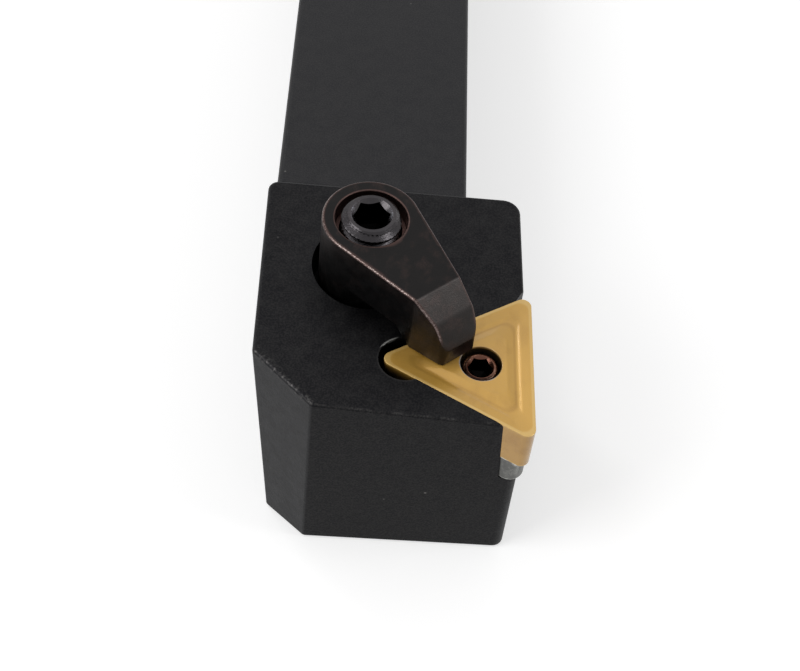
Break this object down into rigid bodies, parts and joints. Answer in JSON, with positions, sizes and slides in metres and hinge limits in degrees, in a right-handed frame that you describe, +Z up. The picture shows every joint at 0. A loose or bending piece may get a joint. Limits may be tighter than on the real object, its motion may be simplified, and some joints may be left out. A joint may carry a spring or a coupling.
{
  "type": "turning tool holder",
  "caption": "Square-shank right-hand turning tool holder with a clamped and pinned triangular carbide insert on a shim.",
  "frame": {"origin": "on the shank's seating face, under its centre line, at the head's shoulder", "axes": "+X towards the insert side, +Y from the head back along the shank, +Z up"},
  "size_m": [0.0254, 0.1137, 0.0301],
  "materials": {
    "black_oxide_steel": "satin black oxide",
    "grey_carbide": "ground, matt grey",
    "coated_carbide": "satin gold coating",
    "browned_steel": "brown oxide",
    "browned_clamp_steel": "worn brown-black oxide",
    "screw_steel": "oiled dark steel"
  },
  "bodies": {
    "holder": {"holder_body": "black_oxide_steel", "shim": "grey_carbide", "insert": "coated_carbide"},
    "pin": {"lock_pin": "browned_steel"},
    "clamp": {"clamp": "browned_clamp_steel"},
    "screw": {"clamp_screw": "screw_steel"}
  },
  "joints": [
    {"name": "clamp_lift", "type": "slide", "parent": "holder", "child": "clamp", "axis": [0.0866, -0.1128, 0.9898], "range_m": [0, 0.00363]},
    {"name": "clamp_screw_turn", "type": "hinge", "parent": "clamp", "child": "screw", "pos_m": [0.00031, -0.00969, 0.0225], "axis": [0.0866, -0.1128, 0.9898], "range_deg": [0, 720]},
    {"name": "lock_pin_turn", "type": "hinge", "parent": "holder", "child": "pin", "pos_m": [0.01099, -0.01994, 0.0204], "axis": [0.0866, -0.1128, 0.9898], "range_deg": [0, 180]}
  ],
  "couplings": [
    {"joint": "clamp_screw_turn", "follows": "clamp_lift", "rad_per_m": 3463.2}
  ]
}
